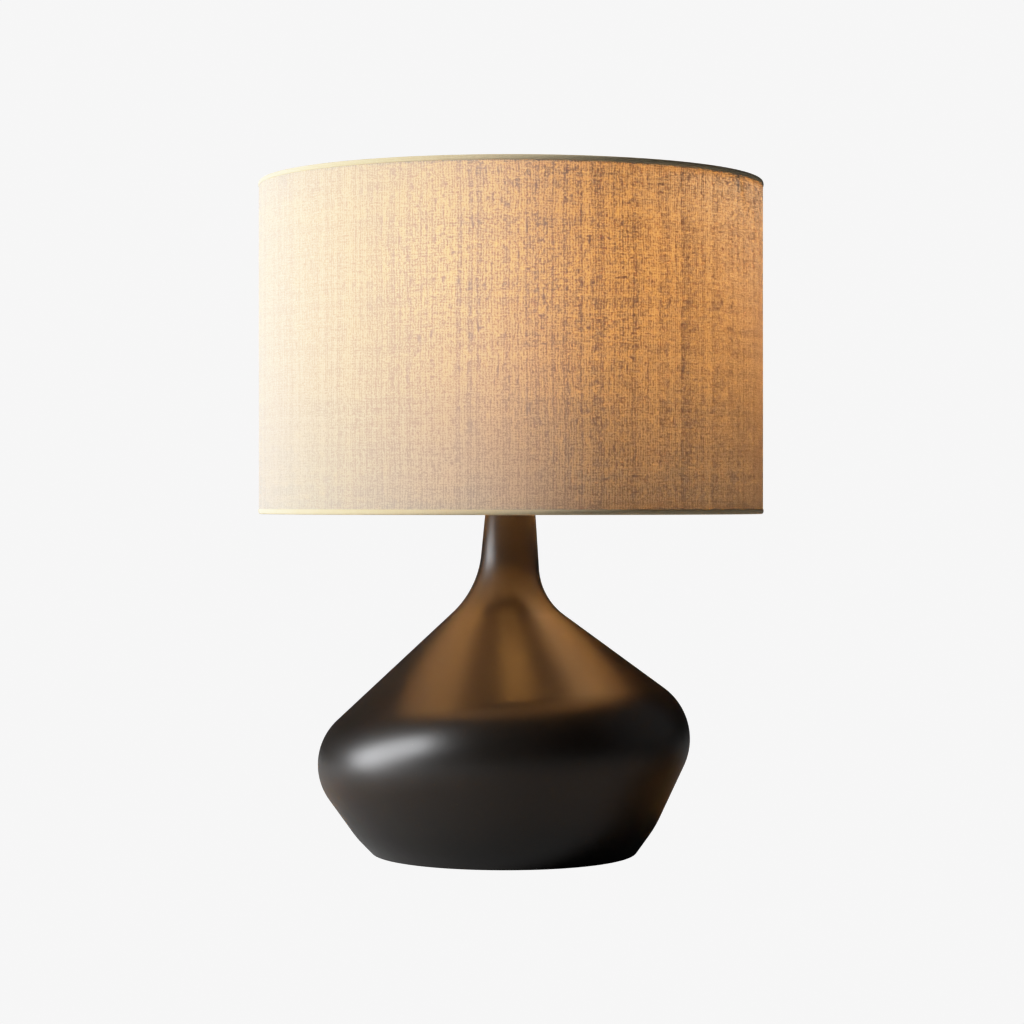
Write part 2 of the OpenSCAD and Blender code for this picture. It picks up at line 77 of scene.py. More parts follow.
def add_camera():
    """A long lens, level, a little above the lamp's neck."""
    data = bpy.data.cameras.new("camera")
    data.lens = LENS
    data.shift_x, data.shift_y = CAMERA_SHIFT
    camera = bpy.data.objects.new("camera", data)
    camera.location = (0, -CAMERA_DISTANCE, CAMERA_HEIGHT)
    camera.rotation_euler = (math.radians(90), 0, 0)
    bpy.context.scene.collection.objects.link(camera)
    bpy.context.scene.camera = camera


def direction(azimuth, elevation):
    """A unit vector: azimuth 0 is the front (-Y), positive towards +X, in degrees."""
    a, e = math.radians(azimuth), math.radians(elevation)
    return Vector((math.sin(a) * math.cos(e), -math.cos(a) * math.cos(e), math.sin(e)))


def add_area_light(name, azimuth, elevation, distance, size, power, colour=(1.0, 1.0, 1.0),
                   roll=0, mirrored=True, lights=True):
    """A lamp that faces the shade's lower rim. mirrored: the glaze shows it. lights: cloth and floor
    get its light."""
    data = bpy.data.lights.new(name, "AREA")
    data.shape = "RECTANGLE"
    data.size, data.size_y = size
    data.energy = power
    data.color = colour
    light = bpy.data.objects.new(name, data)
    light.location = AIM + direction(azimuth, elevation) * distance
    facing = (AIM - light.location).to_track_quat("-Z", "Y")
    light.rotation_euler = (facing @ Quaternion((0, 0, 1), math.radians(roll))).to_euler()
    light.visible_glossy = mirrored
    light.visible_diffuse = lights
    bpy.context.scene.collection.objects.link(light)


def add_bulb_light(power):
    """What the lit bulb sheds: a ball just outside its globe, which only surfaces that scatter see."""
    low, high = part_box("bulb_glass")
    globe_r = (high.x - low.x) / 2
    gap, lift = 1.5 * MM, 3 * MM
    data = bpy.data.lights.new("bulb_light", "POINT")
    data.shadow_soft_size = globe_r + gap
    data.use_soft_falloff = False
    data.energy = power
    data.color = BULB_COLOUR
    light = bpy.data.objects.new("bulb_light", data)
    light.location = (0, 0, high.z - globe_r + lift)
    light.visible_camera = light.visible_glossy = False
    bpy.context.scene.collection.objects.link(light)


# ---------- Node helper ----------

class Nodes:
    """Builds one material. Each call adds a node and returns one of its outputs."""

    def __init__(self, name):
        self.material = bpy.data.materials.new(name)
        self.material.use_nodes = True
        self.tree = self.material.node_tree
        self.tree.nodes.clear()

    def add(self, kind, inputs, output=0, **settings):
        node = self.tree.nodes.new("ShaderNode" + kind)
        for key, value in settings.items():
            setattr(node, key, value)
        for key, value in inputs.items():
            if isinstance(value, bpy.types.NodeSocket):
                self.tree.links.new(value, node.inputs[key])
            else:
                node.inputs[key].default_value = value
        return node.outputs[output]

    def math(self, operation, a, b=0.0):
        return self.add("Math", {0: a, 1: b}, operation=operation)

    def times(self, a, b):
        return self.math("MULTIPLY", a, b)

    def plus(self, a, b):
        return self.math("ADD", a, b)

    def minus(self, a, b):
        return self.math("SUBTRACT", a, b)

    def vector(self, x, y, z=0.0):
        return self.add("CombineXYZ", {0: x, 1: y, 2: z})

    def place(self):
        """The point in the lamp's own frame, in millimetres, as x, y and z."""
        point = self.add("TexCoord", {}, output="Object")
        point = self.add("VectorMath", {0: point, "Scale": 1 / MM}, operation="SCALE")
        split = self.tree.nodes.new("ShaderNodeSeparateXYZ")
        self.tree.links.new(point, split.inputs[0])
        return point, split.outputs[0], split.outputs[1], split.outputs[2]

    def noise(self, vector, scale=1.0, detail=2.0, rough=0.5, dimensions="3D"):
        inputs = {"Vector": vector, "Scale": scale, "Detail": detail, "Roughness": rough}
        return self.add("TexNoise", inputs, noise_dimensions=dimensions)

    def scaled(self, value, low, high, to_low=0.0, to_high=1.0, smooth=False):
        inputs = {0: value, 1: low, 2: high, 3: to_low, 4: to_high}
        kind = "SMOOTHSTEP" if smooth else "LINEAR"
        return self.add("MapRange", inputs, interpolation_type=kind, clamp=True)

    def mix(self, share, a, b):
        """A colour from a to b."""
        node = self.tree.nodes.new("ShaderNodeMix")
        node.data_type = "RGBA"
        sockets = [s for s in node.inputs if s.enabled]
        for socket, value in zip(sockets, (share, a, b)):
            if isinstance(value, bpy.types.NodeSocket):
                self.tree.links.new(value, socket)
            else:
                socket.default_value = value if socket.type == "VALUE" else (*value, 1.0)
        return next(s for s in node.outputs if s.enabled)

    def bump(self, height, distance, strength):
        """distance is in metres, the height that a value of 1 stands for."""
        return self.add("Bump", {"Height": height, "Distance": distance, "Strength": strength})

    def surface(self, colour, roughness, **more):
        inputs = {"Base Color": colour if not isinstance(colour, tuple) else (*colour, 1.0),
                  "Roughness": roughness}
        inputs.update({key.replace("_", " "): value for key, value in more.items()})
        return self.add("BsdfPrincipled", inputs)

    def finish(self, shader):
        output = self.tree.nodes.new("ShaderNodeOutputMaterial")
        self.tree.links.new(shader, output.inputs["Surface"])
        return self.material


# ---------- Materials ----------

# The cloth is laid out in millimetres, round a drum of this radius
DRUM_R = 178.0
WARP_PITCH = 1.9
WEFT_PITCH = 1.7
DRIFT_LENGTH = 60
WANDER_LENGTH = 9
WANDER_WIDTH = 2.2
SWELLING_LENGTH = 2.5
WARP_SLUB_WIDTH = 1.1
WARP_SLUB_LENGTH = 9
WEFT_SLUB_WIDTH = 1.0
WEFT_SLUB_LENGTH = 6
PATCH_LENGTH = 30
# How much each of them stands in the light's way
WARP_COVER = 0.4
WEFT_COVER = 0.22
WARP_UNEVEN = 0.14
WEFT_UNEVEN = 0.08
SLUB_COVER = 0.5
FUZZ_COVER = 0.45
PATCH_COVER = 0.08


def weave(n):
    """Threads round the drum, from its height and the distance round it.
    Returns how much thread stands in the light's way, its relief and the place on the cloth."""
    _, x, y, z = n.place()
    round_it = n.times(n.math("ARCTAN2", x, n.times(y, -1.0)), DRUM_R)

    def wander(across, along, far, near):
        """How far a thread strays sideways: a slow drift, and a livelier one of its own."""
        slow_place = n.vector(n.times(across, 1 / DRIFT_LENGTH), n.times(along, 1 / DRIFT_LENGTH))
        quick_place = n.vector(n.times(across, 1 / WANDER_WIDTH), n.times(along, 1 / WANDER_LENGTH))
        slow = n.noise(slow_place, detail=1.0, dimensions="2D")
        quick = n.noise(quick_place, detail=1.0, dimensions="2D")
        return n.plus(n.times(n.minus(slow, 0.5), far), n.times(n.minus(quick, 0.5), near))

    u = n.plus(round_it, wander(round_it, z, far=3.0, near=1.5))
    v = n.plus(z, wander(z, round_it, far=3.0, near=2.2))

    def threads(along, across, pitch, seed):
        """Side by side threads: how dense each is here, its own thickness, and its number."""
        place = n.times(across, 1 / pitch)
        number = n.math("FLOOR", place)
        off_middle = n.math("ABSOLUTE", n.minus(n.times(n.math("FRACT", place), 2.0), 1.0))
        own = n.add("TexWhiteNoise", {"Vector": n.vector(number, seed)}, noise_dimensions="2D")
        strand = n.plus(n.times(number, 5.37), seed)
        swelling_place = n.vector(strand, n.times(along, 1 / SWELLING_LENGTH))
        swelling = n.noise(swelling_place, detail=2.0, rough=0.7, dimensions="2D")
        half = n.plus(n.scaled(own, 0.0, 1.0, -0.15, 0.2), n.scaled(swelling, 0.3, 0.7, 0.25, 0.9))
        return n.scaled(n.minus(half, off_middle), -0.35, 0.35), own, number

    warp, warp_own, warp_number = threads(v, u, WARP_PITCH, seed=3.5)
    weft, weft_own, weft_number = threads(u, v, WEFT_PITCH, seed=91.5)
    upright_place = n.vector(n.times(u, 1 / WARP_SLUB_WIDTH), n.times(v, 1 / WARP_SLUB_LENGTH))
    level_place = n.vector(n.times(u, 1 / WEFT_SLUB_LENGTH), n.times(v, 1 / WEFT_SLUB_WIDTH))
    upright = n.noise(upright_place, detail=1.0, dimensions="2D")
    level = n.noise(level_place, detail=1.0, dimensions="2D")
    slubs = n.math("MAXIMUM", n.scaled(upright, 0.62, 0.78), n.scaled(level, 0.64, 0.78))
    fuzz = n.noise(n.vector(n.times(u, 1.0), n.times(v, 1.2)), detail=2.0, rough=0.75, dimensions="2D")
    cover = n.plus(n.times(warp, WARP_COVER), n.times(weft, WEFT_COVER))
    own = n.plus(n.times(n.minus(warp_own, 0.5), WARP_UNEVEN), n.times(n.minus(weft_own, 0.5), WEFT_UNEVEN))
    stray = n.plus(n.times(slubs, SLUB_COVER), n.scaled(fuzz, 0.3, 0.7, -FUZZ_COVER, FUZZ_COVER))
    cover = n.plus(n.plus(cover, own), stray)
    # 1 where the warp lies over the weft, 0 where it lies under it
    over = n.math("PINGPONG", n.plus(warp_number, weft_number), 1.0)
    relief = n.plus(n.times(warp, n.plus(over, 0.3)), n.times(weft, n.minus(1.3, over)))
    return cover, n.plus(relief, n.plus(slubs, fuzz)), n.vector(u, v)


THIN_CLOTH = (0.8, 0.76, 0.65)
THICK_CLOTH = (0.88, 0.85, 0.76)
LIGHT_BETWEEN_THREADS = (0.49, 0.475, 0.41)
LIGHT_THROUGH_THREADS = (0.05, 0.018, 0.005)


def linen(name, see_through, painted_light_tint=(1.0, 1.0, 1.0)):
    """Oatmeal linen. see_through is the share of its look that is the light from behind. The tint that
    scales its colours is painted light: on the hem it darkens and warms the cloth to stand in for warm
    light bounced inside the shade.
    """
    n = Nodes(name)
    cover, relief, plane = weave(n)
    patches = n.noise(plane, scale=1 / PATCH_LENGTH, detail=3.0, dimensions="2D")
    cover = n.plus(cover, n.times(n.minus(patches, 0.5), PATCH_COVER))
    # The tint, painted light, scales both cloth colours.
    thin, thick = ([a * b for a, b in zip(colour, painted_light_tint)] for colour in (THIN_CLOTH, THICK_CLOTH))
    shown = n.mix(n.scaled(cover, -0.1, 0.8), thin, thick)
    passed = n.mix(n.scaled(cover, 0.2, 0.66), LIGHT_BETWEEN_THREADS, LIGHT_THROUGH_THREADS)
    front = n.surface(shown, 0.9, Diffuse_Roughness=0.7, Sheen_Weight=0.1, Sheen_Roughness=0.5,
                      Normal=n.bump(relief, 0.06 * MM, 0.4), Specular_IOR_Level=0.15)
    through = n.add("BsdfTranslucent", {"Color": passed})
    return n.finish(n.add("MixShader", {0: see_through, 1: front, 2: through}))


def lining():
    """White styrene, slightly mottled, so thin that much of the light goes through, most of it straight."""
    n = Nodes("lining")
    passed_share, straight_share = 0.55, 0.85
    point, *_ = n.place()
    cloud = n.noise(point, scale=0.02, detail=3.0)
    colour = n.mix(cloud, (0.9, 0.88, 0.84), (0.95, 0.94, 0.91))
    grain = n.bump(n.noise(point, scale=3.0, detail=2.0), 0.02 * MM, 0.4)
    front = n.surface(colour, 0.45, Normal=grain)
    through = n.add("BsdfTranslucent", {"Color": (0.95, 0.93, 0.88, 1.0)})
    straight = n.add("BsdfTransparent", {"Color": (0.95, 0.93, 0.88, 1.0)})
    through = n.add("MixShader", {0: straight_share, 1: through, 2: straight})
    return n.finish(n.add("MixShader", {0: passed_share, 1: front, 2: through}))


def glaze():
    """Satin bronze-black glaze with a faint cloudiness and a very soft orange peel."""
    n = Nodes("glaze")
    point, *_ = n.place()
    cloud = n.noise(point, scale=0.018, detail=3.0, rough=0.55)
    speck = n.noise(point, scale=1.1, detail=2.0, rough=0.6)
    colour = n.mix(cloud, (0.006, 0.005, 0.004), (0.011, 0.008, 0.006))
    colour = n.mix(n.scaled(speck, 0.66, 0.78), colour, (0.035, 0.026, 0.016))
    rough = n.plus(n.scaled(cloud, 0.3, 0.7, 0.33, 0.38), n.times(n.minus(speck, 0.5), 0.05))
    peel = n.noise(point, scale=0.35, detail=3.0, rough=0.5)
    normal = n.bump(peel, 0.06 * MM, 0.25)
    return n.finish(n.surface(colour, rough, IOR=1.52, Normal=normal))


def felt():
    n = Nodes("felt")
    point, *_ = n.place()
    fibres = n.noise(point, scale=1.4, detail=4.0, rough=0.75)
    colour = n.mix(n.scaled(fibres, 0.3, 0.7), (0.42, 0.39, 0.34), (0.62, 0.58, 0.52))
    normal = n.bump(fibres, 0.3 * MM, 0.7)
    return n.finish(n.surface(colour, 0.95, Sheen_Weight=0.3, Normal=normal))


def metal(name, colour, dark, roughness):
    """Metal with a drawn or brushed grain, and darker, duller patches."""
    n = Nodes(name)
    grain = (0.25, 0.25, 6.0)
    point, x, y, z = n.place()
    lines = n.noise(n.vector(*(n.times(v, g) for v, g in zip((x, y, z), grain))), detail=3.0, rough=0.6)
    patch = n.noise(point, scale=0.12, detail=3.0, rough=0.6)
    worn = n.scaled(patch, 0.45, 0.7)
    shade = n.mix(worn, colour, dark)
    rough = n.plus(n.scaled(lines, 0.3, 0.7, roughness - 0.05, roughness + 0.08), n.times(worn, 0.1))
    normal = n.bump(lines, 0.01 * MM, 0.3)
    return n.finish(n.surface(shade, rough, Metallic=1.0, Normal=normal))


def painted(name, colour, speck_colour, roughness, metallic=0.0):
    """Lacquer, moulded plastic or rubber: a faint peel and fine specks or dust."""
    n = Nodes(name)
    point, *_ = n.place()
    skin = n.noise(point, scale=0.35, detail=3.0)
    specks = n.noise(point, scale=1.9, detail=3.0, rough=0.7)
    shade = n.mix(n.scaled(specks, 0.58, 0.8), colour, speck_colour)
    rough = n.scaled(skin, 0.3, 0.7, roughness - 0.05, roughness + 0.06)
    normal = n.bump(skin, 0.05 * MM, 0.3)
    return n.finish(n.surface(shade, rough, Metallic=metallic, Normal=normal))


def paperboard():
    n = Nodes("paperboard")
    point, x, y, z = n.place()
    fibre = n.noise(n.vector(n.times(x, 0.5), n.times(y, 0.5), n.times(z, 2.5)), detail=4.0, rough=0.7)
    colour = n.mix(n.scaled(fibre, 0.3, 0.7), (0.3, 0.19, 0.1), (0.46, 0.33, 0.2))
    return n.finish(n.surface(colour, 0.85, Normal=n.bump(fibre, 0.05 * MM, 0.5)))


def lit_glass(power):
    """Frosted glass, lit from within: brightest at the globe's top, dimmer at the neck.
    It gives back next to none of what falls on it, because the bulb's ball of light lies round it."""
    n = Nodes("lit_glass")
    point, _, _, z = n.place()
    low, high = (v.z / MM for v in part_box("bulb_glass"))
    neck, top = low + 0.3 * (high - low), low + 0.95 * (high - low)
    share = n.scaled(z, neck, top, 0.4, 1.0, smooth=True)
    frost = n.noise(point, scale=0.4, detail=2.0)
    share = n.times(share, n.scaled(frost, 0.0, 1.0, 0.96, 1.04))
    colour = n.mix(share, (0.0, 0.0, 0.0), BULB_COLOUR)
    return n.finish(n.surface((0.01, 0.01, 0.01), 0.4, Emission_Color=colour, Emission_Strength=power))


def clear_glass():
    n = Nodes("clear_glass")
    point, *_ = n.place()
    ripple = n.bump(n.noise(point, scale=0.2, detail=1.0), 0.05 * MM, 0.3)
    return n.finish(n.surface((0.9, 0.94, 0.95), 0.05, Transmission_Weight=0.9, Normal=ripple))


def glowing_wire():
    n = Nodes("glowing_wire")
    _, x, _, _ = n.place()
    coil = n.add("TexWave", {"Vector": n.vector(x, 0.0), "Scale": 1.2}, output=1)
    colour = n.mix(coil, (0.25, 0.22, 0.2), (0.45, 0.42, 0.4))
    return n.finish(n.surface(colour, 0.4, Emission_Color=(1.0, 0.5, 0.15, 1.0), Emission_Strength=20.0))


# ---------- Mesh helpers ----------

def new_piece(name, points, faces, material, smooth=True):
    """A mesh object from its points and the corners of each face."""
    mesh = bpy.data.meshes.new(name)
    mesh.from_pydata(points, [], faces)
    mesh.polygons.foreach_set("use_smooth", [smooth] * len(mesh.polygons))
    mesh.materials.append(material)
    mesh.validate()
    piece = bpy.data.objects.new(name, mesh)
    bpy.context.scene.collection.objects.link(piece)
    return piece


def turned(name, profile_at, steps, material, closed):
    """A shape turned round Z. profile_at(angle) gives its (radius, height) points at that angle."""
    points, faces = [], []
    for i in range(steps):
        angle = TURN * i / steps
        profile = profile_at(angle)
        count = len(profile)
        points += [(r * math.cos(angle), r * math.sin(angle), z) for r, z in profile]
    for i in range(steps):
        for j in range(count if closed else count - 1):
            a, b = i * count + j, i * count + (j + 1) % count
            c, d = (i + 1) % steps * count + (j + 1) % count, (i + 1) % steps * count + j
            faces.append((a, b, c, d))
    return new_piece(name, points, faces, material)


def corner_round(a, p, b, radius, steps):
    """The points of the round, of a given radius, that replaces corner p of the line a, p, b."""
    a, p, b = Vector(a), Vector(p), Vector(b)
    u, v = (a - p).normalized(), (b - p).normalized()
    half = u.angle(v) / 2
    centre = p + (u + v).normalized() * radius / math.sin(half)
    start, end = p + u * radius / math.tan(half) - centre, p + v * radius / math.tan(half) - centre
    first = math.atan2(start.y, start.x)
    sweep = (math.atan2(end.y, end.x) - first + 3 * math.pi) % TURN - math.pi
    angles = [first + sweep * k / steps for k in range(steps + 1)]
    return [centre + radius * Vector((math.cos(t), math.sin(t))) for t in angles]


# ---------- Ceramic body ----------

# Each pair holds the left side's value and the right side's, in millimetres, as in the frame's source
NECK_R = (15.9, 15.8)
WAIST = ((23.6, 187.4), (21.3, 181.1))
WAIST_ROUND = (65.0, 43.5)
BELLY = ((150.4, 69.1), (137.8, 96.0))
BELLY_ROUND = (41.8, 43.8)
BELLY_FRONT = 12.5
BELLY_FRONT_ROUND = 8.0
SHANK = ((109.4, 12.9), (102.4, 20.7))
SHANK_ROUND = (60.0, 80.0)
FOOT_R = (98.2, 88.6)
FOOT_ROUND = (2.0, 2.0)
FOOT_FRONT = 14.0
WALL = 6.5
FLOOR_ROUND = 10.0


def ceramic_body(material):
    """A slip-cast shell whose outline changes from its left side to its right side."""
    low, high = bottom_of("ceramic_body") / MM, top_of("ceramic_body") / MM
    recess_h, recess_r, floor_t, pipe_hole_r = 17.5, 75.0, 7.0, 5.8
    floor_z = low + recess_h + floor_t

    def around(pair, angle):
        share = (1 + math.cos(angle)) / 2
        return pair[0] + (pair[1] - pair[0]) * share

    def straight(a, b, steps):
        return [a.lerp(b, k / steps) for k in range(1, steps)]

    def line(angle, inset):
        """The outline, or the inner wall where inset is the wall's thickness, from the top down."""
        waist, belly, shank = (Vector([around([side[k] for side in pair], angle) for k in (0, 1)])
                               for pair in (WAIST, BELLY, SHANK))
        front = min(0.0, math.sin(angle)) ** 2
        belly += Vector((0, BELLY_FRONT * front))
        reach = Vector((FOOT_FRONT * front, 0))
        corners = [Vector((around(NECK_R, angle), high)), waist, belly, shank + reach,
                   Vector((around(FOOT_R, angle), low)) + reach, Vector((0, low))]
        rounds = [around(pair, angle) for pair in (WAIST_ROUND, BELLY_ROUND, SHANK_ROUND, FOOT_ROUND)]
        rounds[1] += BELLY_FRONT_ROUND * front
        steps = [28, 28, 8, 6]
        if inset:
            corners = inner_corners(corners, inset)
            rounds = [rounds[0] + inset, rounds[1] - inset, FLOOR_ROUND]
        points = [corners[0]]
        for k, radius in enumerate(rounds):
            bend = corner_round(corners[k], corners[k + 1], corners[k + 2], radius, steps[k])
            points += straight(points[-1], bend[0], 7) + bend
        return points

    def inner_corners(corners, inset):
        top = corners[0] - Vector((inset, 0))
        moved = []
        for k, side in ((1, -1), (2, 1)):
            u = (corners[k - 1] - corners[k]).normalized()
            v = (corners[k + 1] - corners[k]).normalized()
            moved.append(corners[k] + (u + v).normalized() * side * inset / math.sin(u.angle(v) / 2))
        slope = corners[3] - corners[2]
        foot = moved[1] + slope * (floor_z - moved[1].y) / slope.y
        return [top, *moved, foot, Vector((0, floor_z))]

    def profile(angle):
        under = [Vector((recess_r, low)), Vector((recess_r, low + recess_h)),
                 Vector((pipe_hole_r, low + recess_h)), Vector((pipe_hole_r, floor_z))]
        points = line(angle, 0) + under + line(angle, WALL)[::-1]
        return [(p.x * MM, p.y * MM) for p in points]

    body = turned("glazed_body", profile, 256, material, closed=True)
    grommet_hole_r, flange_seat_r, flange_t, outside = 6.05 * MM, 8.0 * MM, 2 * MM, 0.13
    drill(body, grommet_hole_r, recess_r * MM * 0.6, outside)
    drill(body, flange_seat_r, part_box("cord_grommet")[1].y - flange_t, outside)
    sharpen(body, 40)
    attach(body, "base")
    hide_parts("ceramic_body")


def drill(piece, radius, near, far):
    """Cuts a round hole along Y, on the cord inlet's axis, from near to far."""
    centre = sum(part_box("cord_grommet"), Vector()) / 2
    mesh = bpy.data.meshes.new("drill")
    bm = bmesh.new()
    bmesh.ops.create_cone(bm, cap_ends=True, segments=64, radius1=radius, radius2=radius, depth=far - near)
    bm.to_mesh(mesh)
    bm.free()
    tool = bpy.data.objects.new("drill", mesh)
    tool.location = (0, (near + far) / 2, centre.z)
    tool.rotation_euler = (math.radians(90), 0, 0)
    bpy.context.scene.collection.objects.link(tool)
    cut = piece.modifiers.new("cut", "BOOLEAN")
    cut.operation, cut.solver, cut.object = "DIFFERENCE", "EXACT", tool
    apply_modifiers(piece)
    bpy.data.objects.remove(tool)


def apply_modifiers(piece):
    graph = bpy.context.evaluated_depsgraph_get()
    shaped = bpy.data.meshes.new_from_object(piece.evaluated_get(graph))
    piece.modifiers.clear()
    piece.data = shaped


def sharpen(piece, degrees):
    """Smooth shading, but for edges that turn by more than this angle."""
    piece.data.polygons.foreach_set("use_smooth", [True] * len(piece.data.polygons))
    piece.data.set_sharp_from_angle(angle=math.radians(degrees))


# ---------- Shade ----------

ROLL_H = 3.6 * MM
LINEN_T = 0.8 * MM
SEAM_OVERLAP = 12 * MM
SEAM_FOLD = 8 * MM


def shade_sheet(material):
    """The linen: one sheet round the drum, whose end is folded under and laps over its start."""
    low, high = bottom_of("shade_fabric"), top_of("shade_fabric")
    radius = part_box("shade_fabric")[1].x - 0.1 * MM
    # The sheet's course, as (distance along it, how far out it lies)
    whole = TURN * radius
    steps = 720
    path = [(whole * k / steps, 0.0) for k in range(steps + 1)]
    rise = 4 * MM
    path += [(whole + rise * k / 4, LINEN_T * math.sin(math.pi / 2 * k / 4)) for k in range(1, 5)]
    end = whole + SEAM_OVERLAP
    path += [(whole + rise + (end - whole - rise) * k / 4, LINEN_T) for k in range(1, 5)]
    fold_r = 0.3 * MM
    path += [(end + fold_r * math.sin(math.pi * k / 6), LINEN_T - fold_r * (1 - math.cos(math.pi * k / 6)))
             for k in range(1, 7)]
    path += [(end - SEAM_FOLD * k / 4, LINEN_T - 2 * fold_r) for k in range(1, 5)]
    rows = 40
    z0, z1 = low + ROLL_H * 0.5, high - ROLL_H * 0.5
    points, faces = [], []
    start = math.radians(90) - SEAM_OVERLAP / 2 / radius
    for distance, out in path:
        angle = start + distance / radius
        for row in range(rows + 1):
            z = z0 + (z1 - z0) * row / rows
            slack = 0.12 * MM * math.sin(3 * angle + 9 * z) * math.sin(math.pi * row / rows)
            r = radius + out + slack
            points.append((r * math.cos(angle), r * math.sin(angle), z))
    for k in range(len(path) - 1):
        for row in range(rows):
            a = k * (rows + 1) + row
            b = a + rows + 1
            faces.append((a, b, b + 1, a + 1))
    sheet = new_piece("linen_sheet", points, faces, material)
    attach(sheet, "shade")
    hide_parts("shade_fabric")
    return sheet, radius


def shade_hem(name, node, up, radius, material):
    """The linen's turned-in edge: over the ring's wire and in behind it.
    up is 1 at the top rim and -1 at the bottom rim."""
    edge = top_of(node) if up > 0 else bottom_of(node)
    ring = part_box("shade_top_ring" if up > 0 else "shade_bottom_ring")
    wire_r = (ring[1].z - ring[0].z) / 2
    ring_r = ring[1].x - wire_r
    ring_z = (ring[0].z + ring[1].z) / 2
    wrap = wire_r + 0.55 * MM
    out = radius + 0.35 * MM
    rim_r, tucked_in = 1.6 * MM, 2.9 * MM
    # Up the outside, over the rim, round the wire and down inside
    outline = [(radius + 0.12 * MM, edge - up * ROLL_H), (out, edge - up * (ROLL_H - 0.3 * MM)),
               (out + 0.15 * MM, edge - up * ROLL_H * 0.6)]
    outline += [(out - rim_r * (1 - math.cos(a)), edge - up * rim_r * (1 - math.sin(a)))
                for a in [math.radians(t) for t in range(0, 91, 15)]]
    outline += [(ring_r + wrap * math.cos(a), ring_z + up * wrap * math.sin(a))
                for a in [math.radians(t) for t in range(90, 226, 15)]]
    outline += [(ring_r - 0.2 * MM, ring_z - up * tucked_in)]

    def profile(angle):
        ragged = 0.15 * MM * math.sin(37 * angle) * math.sin(11 * angle)
        *rest, (r, z) = outline
        return [*rest, (r, z + up * ragged)]

    hem = turned(name, profile, 720, material, closed=False)
    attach(hem, "shade")
    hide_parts(node)
    return hem


def shade_lining(material):
    """The stiff lining that the linen is glued to, as one sheet with its lap at the back."""
    low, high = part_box("shade_liner")
    radius = high.x - 0.5 * MM
    steps, overlap = 360, 0.03
    lap = 0.45 * MM
    points, faces = [], []
    for k in range(steps + 1):
        share = k / steps
        angle = math.radians(90) - 0.1 + (TURN + overlap) * share
        r = radius - lap * max(0.0, min(1.0, (share - 0.98) * 50))
        points += [(r * math.cos(angle), r * math.sin(angle), z) for z in (low.z, high.z)]
    for k in range(steps):
        a = 2 * k
        faces.append((a, a + 2, a + 3, a + 1))
    sheet = new_piece("lining_sheet", points, faces, material)
    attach(sheet, "shade")
    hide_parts("shade_liner")


# ---------- Scene ----------

def finish_node(node, material):
    """Gives a CAD node its material, and smooth shading between its real edges."""
    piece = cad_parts[node]
    piece.data.materials.clear()
    piece.data.materials.append(material)
    sharpen(piece, 35)


def add_stage():
    """A pale seamless floor and surround. Only their look to the camera is white: what the lamp's glaze
    mirrors is a floor lit by the lamps, in a dim studio, with painted light and shade besides: its grey is
    lighter at the left and darker towards the right."""
    n = Nodes("floor")
    _, x, _, _ = n.place()
    # Painted light and shade: the floor's grey goes from light at the left to dark at the right.
    painted_floor_light = n.mix(n.scaled(x, -600.0, 0.0), FLOOR_PAINTED_LIT, FLOOR_PAINTED_SHADE)
    plain = n.surface(painted_floor_light, 0.9)
    seen = n.add("Emission", {"Color": (*BACKDROP, 1.0), "Strength": 1.0})
    ray = n.add("LightPath", {}, output="Is Camera Ray")
    material = n.finish(n.add("MixShader", {0: ray, 1: plain, 2: seen}))
    size = 8.0
    corners = [(-size, -size, 0), (size, -size, 0), (size, size, 0), (-size, size, 0)]
    floor = new_piece("floor", corners, [(0, 1, 2, 3)], material, smooth=False)

    world = bpy.data.worlds.new("studio")
    world.use_nodes = True
    tree = world.node_tree
    tree.nodes.clear()
    dim = tree.nodes.new("ShaderNodeBackground")
    dim.inputs["Color"].default_value = (1, 1, 1, 1)
    dim.inputs["Strength"].default_value = STUDIO_LIGHT
    white = tree.nodes.new("ShaderNodeBackground")
    white.inputs["Color"].default_value = (*BACKDROP, 1.0)
    path = tree.nodes.new("ShaderNodeLightPath")
    mix = tree.nodes.new("ShaderNodeMixShader")
    output = tree.nodes.new("ShaderNodeOutputWorld")
    tree.links.new(path.outputs["Is Camera Ray"], mix.inputs[0])
    tree.links.new(dim.outputs[0], mix.inputs[1])
    tree.links.new(white.outputs[0], mix.inputs[2])
    tree.links.new(mix.outputs[0], output.inputs["Surface"])
    bpy.context.scene.world = world


def add_film():
    """A film that keeps dark and middle tones as they are and rolls off the bright ones.
    The shade's glow comes by way of many small bounces, none of which is cut off."""
    bpy.context.scene.cycles.sample_clamp_indirect = 0.0
    view = bpy.context.scene.view_settings
    view.view_transform = "Standard"
    view.use_curve_mapping = True
    view.curve_mapping.white_level = (FILM_WHITE,) * 3
    curve = view.curve_mapping.curves[3]
    curve.points[0].location, curve.points[1].location = (0, 0), (1, 1)
    for light, shown in FILM:
        curve.points.new(light / FILM_WHITE, shown)
    view.curve_mapping.update()


add_camera()
add_stage()
add_film()
add_area_light("strip", azimuth=-78, elevation=12, distance=1.8, size=(1.8, 0.75), power=63,
               colour=(0.95, 0.97, 1.0), roll=35, lights=False)
add_area_light("key", azimuth=-72, elevation=20, distance=3.0, size=(1.2, 1.2), power=171, mirrored=False)
add_area_light("card", azimuth=100, elevation=20, distance=1.9, size=(2.0, 1.6), power=1.2)
add_bulb_light(power=6.0)

ceramic_body(glaze())

shade_linen = linen("linen", see_through=0.5)
# The hem's tint is painted light: warm, dim light bounced from the lit inside of the shade, painted into
# the same linen's colour.
hem_linen_painted_warm = linen("hem_linen_painted_warm", see_through=0.05, painted_light_tint=(0.9, 0.8, 0.6))
linen_sheet, linen_r = shade_sheet(shade_linen)
top_hem = shade_hem("top_hem", "shade_top_hem", 1, linen_r, hem_linen_painted_warm)
bottom_hem = shade_hem("bottom_hem", "shade_bottom_hem", -1, linen_r, hem_linen_painted_warm)
shade_lining(lining())

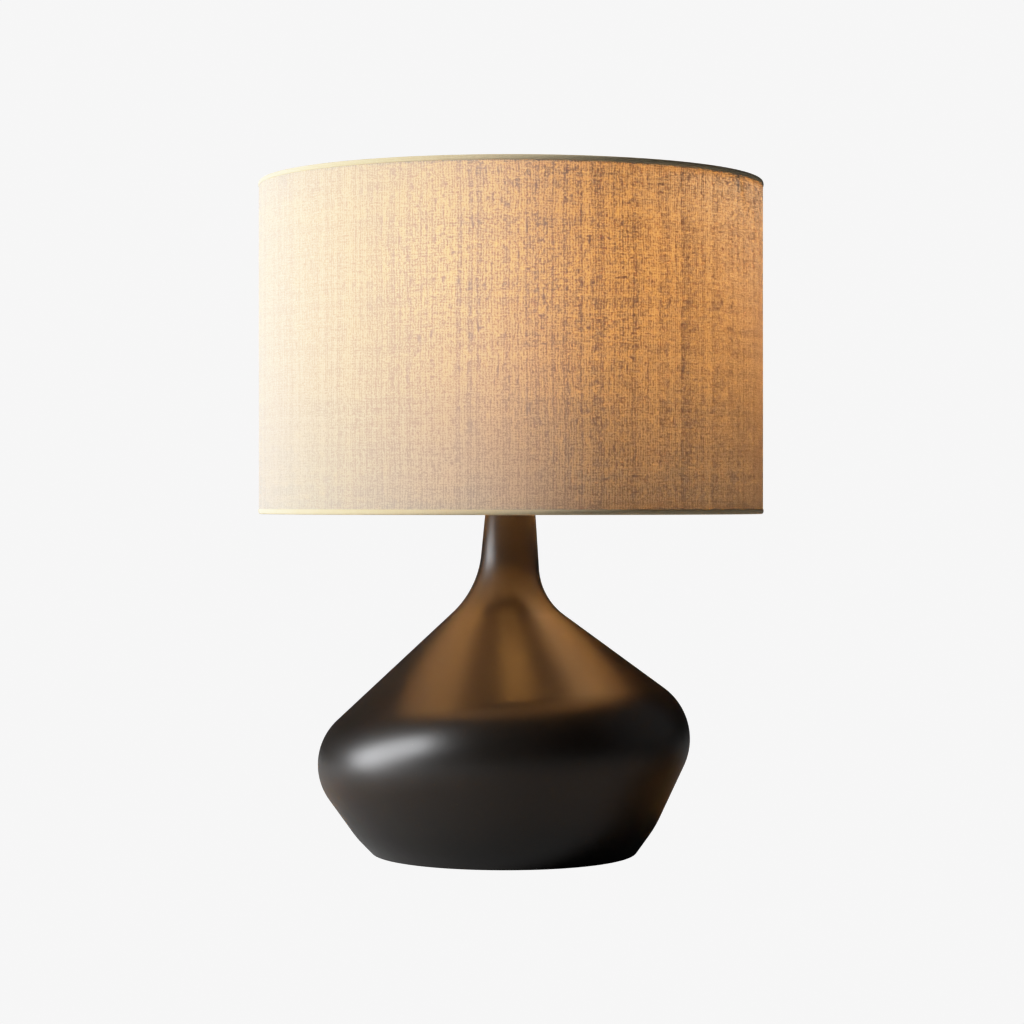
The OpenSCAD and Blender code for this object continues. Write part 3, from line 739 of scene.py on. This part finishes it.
zinc = metal("zinc", (0.62, 0.62, 0.6), (0.42, 0.42, 0.4), 0.38)
bronze = painted("bronze", (0.035, 0.025, 0.018), (0.07, 0.05, 0.03), 0.35, metallic=0.6)
antique = metal("antique_brass", (0.42, 0.31, 0.17), (0.22, 0.15, 0.08), 0.34)
brass = metal("satin_brass", (0.78, 0.56, 0.26), (0.55, 0.36, 0.15), 0.3)
aluminium = metal("rolled_aluminium", (0.8, 0.8, 0.79), (0.6, 0.6, 0.58), 0.3)
solder = metal("solder", (0.55, 0.55, 0.54), (0.38, 0.38, 0.37), 0.5)
wire = painted("lacquered_wire", (0.5, 0.48, 0.44), (0.36, 0.34, 0.3), 0.4, metallic=0.5)
rubber = painted("black_rubber", (0.02, 0.02, 0.02), (0.05, 0.05, 0.05), 0.6)
phenolic = painted("phenolic", (0.015, 0.013, 0.012), (0.03, 0.026, 0.024), 0.25)
vitrite = painted("vitrite", (0.008, 0.008, 0.01), (0.02, 0.02, 0.022), 0.12)
fibre = painted("red_fibre", (0.28, 0.05, 0.03), (0.36, 0.09, 0.06), 0.6)
glass = clear_glass()

NODE_MATERIALS = {
    "felt_pad": felt(), "cord_grommet": rubber, "neck_gasket": rubber,
    "bottom_washer": zinc, "bottom_lock_washer": zinc, "bottom_nut": zinc, "lamp_pipe": zinc,
    "socket_set_screw": zinc, "switch_spindle": zinc,
    "neck_cap": bronze, "top_nut": bronze, "finial": bronze,
    "harp_saddle": antique, "harp": antique, "harp_sleeve_left": antique, "harp_sleeve_right": antique,
    "harp_seat": antique,
    "socket_cap": brass, "socket_shell": brass, "screw_shell_rivets": brass, "centre_contact": brass,
    "terminal_screws": brass,
    "socket_liner": paperboard(), "socket_core": phenolic, "switch_knob": phenolic, "switch_rotor": fibre,
    "screw_shell": aluminium, "bulb_cap": aluminium, "bulb_contact": solder, "bulb_insulator": vitrite,
    "bulb_glass": lit_glass(30.0), "bulb_stem": glass, "bulb_filament": glowing_wire(),
    "shade_spider_hub": wire, "shade_spider_arms": wire, "shade_top_ring": wire, "shade_bottom_ring": wire,
}
for node, material in NODE_MATERIALS.items():
    finish_node(node, material)
